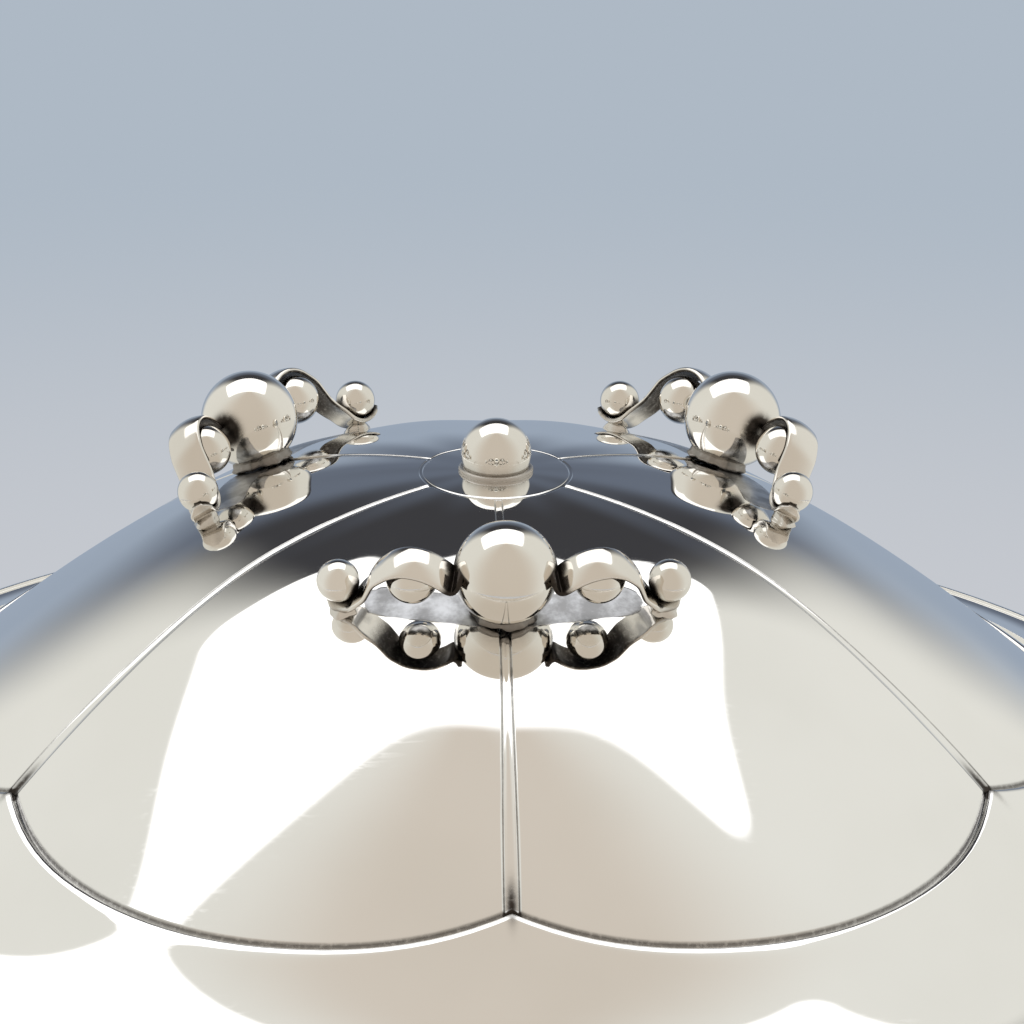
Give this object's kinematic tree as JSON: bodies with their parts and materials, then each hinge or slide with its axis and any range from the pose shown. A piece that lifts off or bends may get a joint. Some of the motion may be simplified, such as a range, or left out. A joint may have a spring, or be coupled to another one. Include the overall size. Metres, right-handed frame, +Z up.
{
  "type": "covered sugar bowl",
  "caption": "Round covered silver sugar bowl: domed lid with chased petals, ball-and-scroll ornaments and a ball finial, on a plain bowl with a foot ring.",
  "frame": {"origin": "centre of the circle on which the foot ring stands", "axes": "+Z up along the bowl's axis, -Y towards the front ornament"},
  "size_m": [0.1266, 0.1266, 0.0848],
  "materials": {
    "bowl_silver": "polished silver",
    "rim_silver": "polished silver",
    "lid_silver": "polished silver, fine wear marks, tarnish in the chased lines",
    "bezel_silver": "worn silver",
    "bead_silver": "polished silver, oxidised in the crevices",
    "strap_silver": "polished silver, oxidised in the crevices",
    "solder_silver": "dull oxidised solder"
  },
  "bodies": {
    "bowl": {"bowl_body": "bowl_silver", "bowl_rim_wire": "rim_silver", "foot_ring": "rim_silver"},
    "lid": {"lid_shell": "lid_silver", "lid_rim_wire": "rim_silver", "lid_bezel": "bezel_silver", "finial_ball": "bead_silver", "finial_collar": "solder_silver", "front_large_ball": "bead_silver", "front_ball_collar": "solder_silver", "front_strap_a": "strap_silver", "front_middle_ball_a": "bead_silver", "front_end_ball_a": "bead_silver", "front_strap_b": "strap_silver", "front_middle_ball_b": "bead_silver", "front_end_ball_b": "bead_silver", "right_large_ball": "bead_silver", "right_ball_collar": "solder_silver", "right_strap_a": "strap_silver", "right_middle_ball_a": "bead_silver", "right_end_ball_a": "bead_silver", "right_strap_b": "strap_silver", "right_middle_ball_b": "bead_silver", "right_end_ball_b": "bead_silver", "left_large_ball": "bead_silver", "left_ball_collar": "solder_silver", "left_strap_a": "strap_silver", "left_middle_ball_a": "bead_silver", "left_end_ball_a": "bead_silver", "left_strap_b": "strap_silver", "left_middle_ball_b": "bead_silver", "left_end_ball_b": "bead_silver"}
  },
  "joints": [
    {"name": "lid_lift", "type": "slide", "parent": "bowl", "child": "lid", "axis": [0, 0, 1], "range_m": [0, 0.1]}
  ]
}
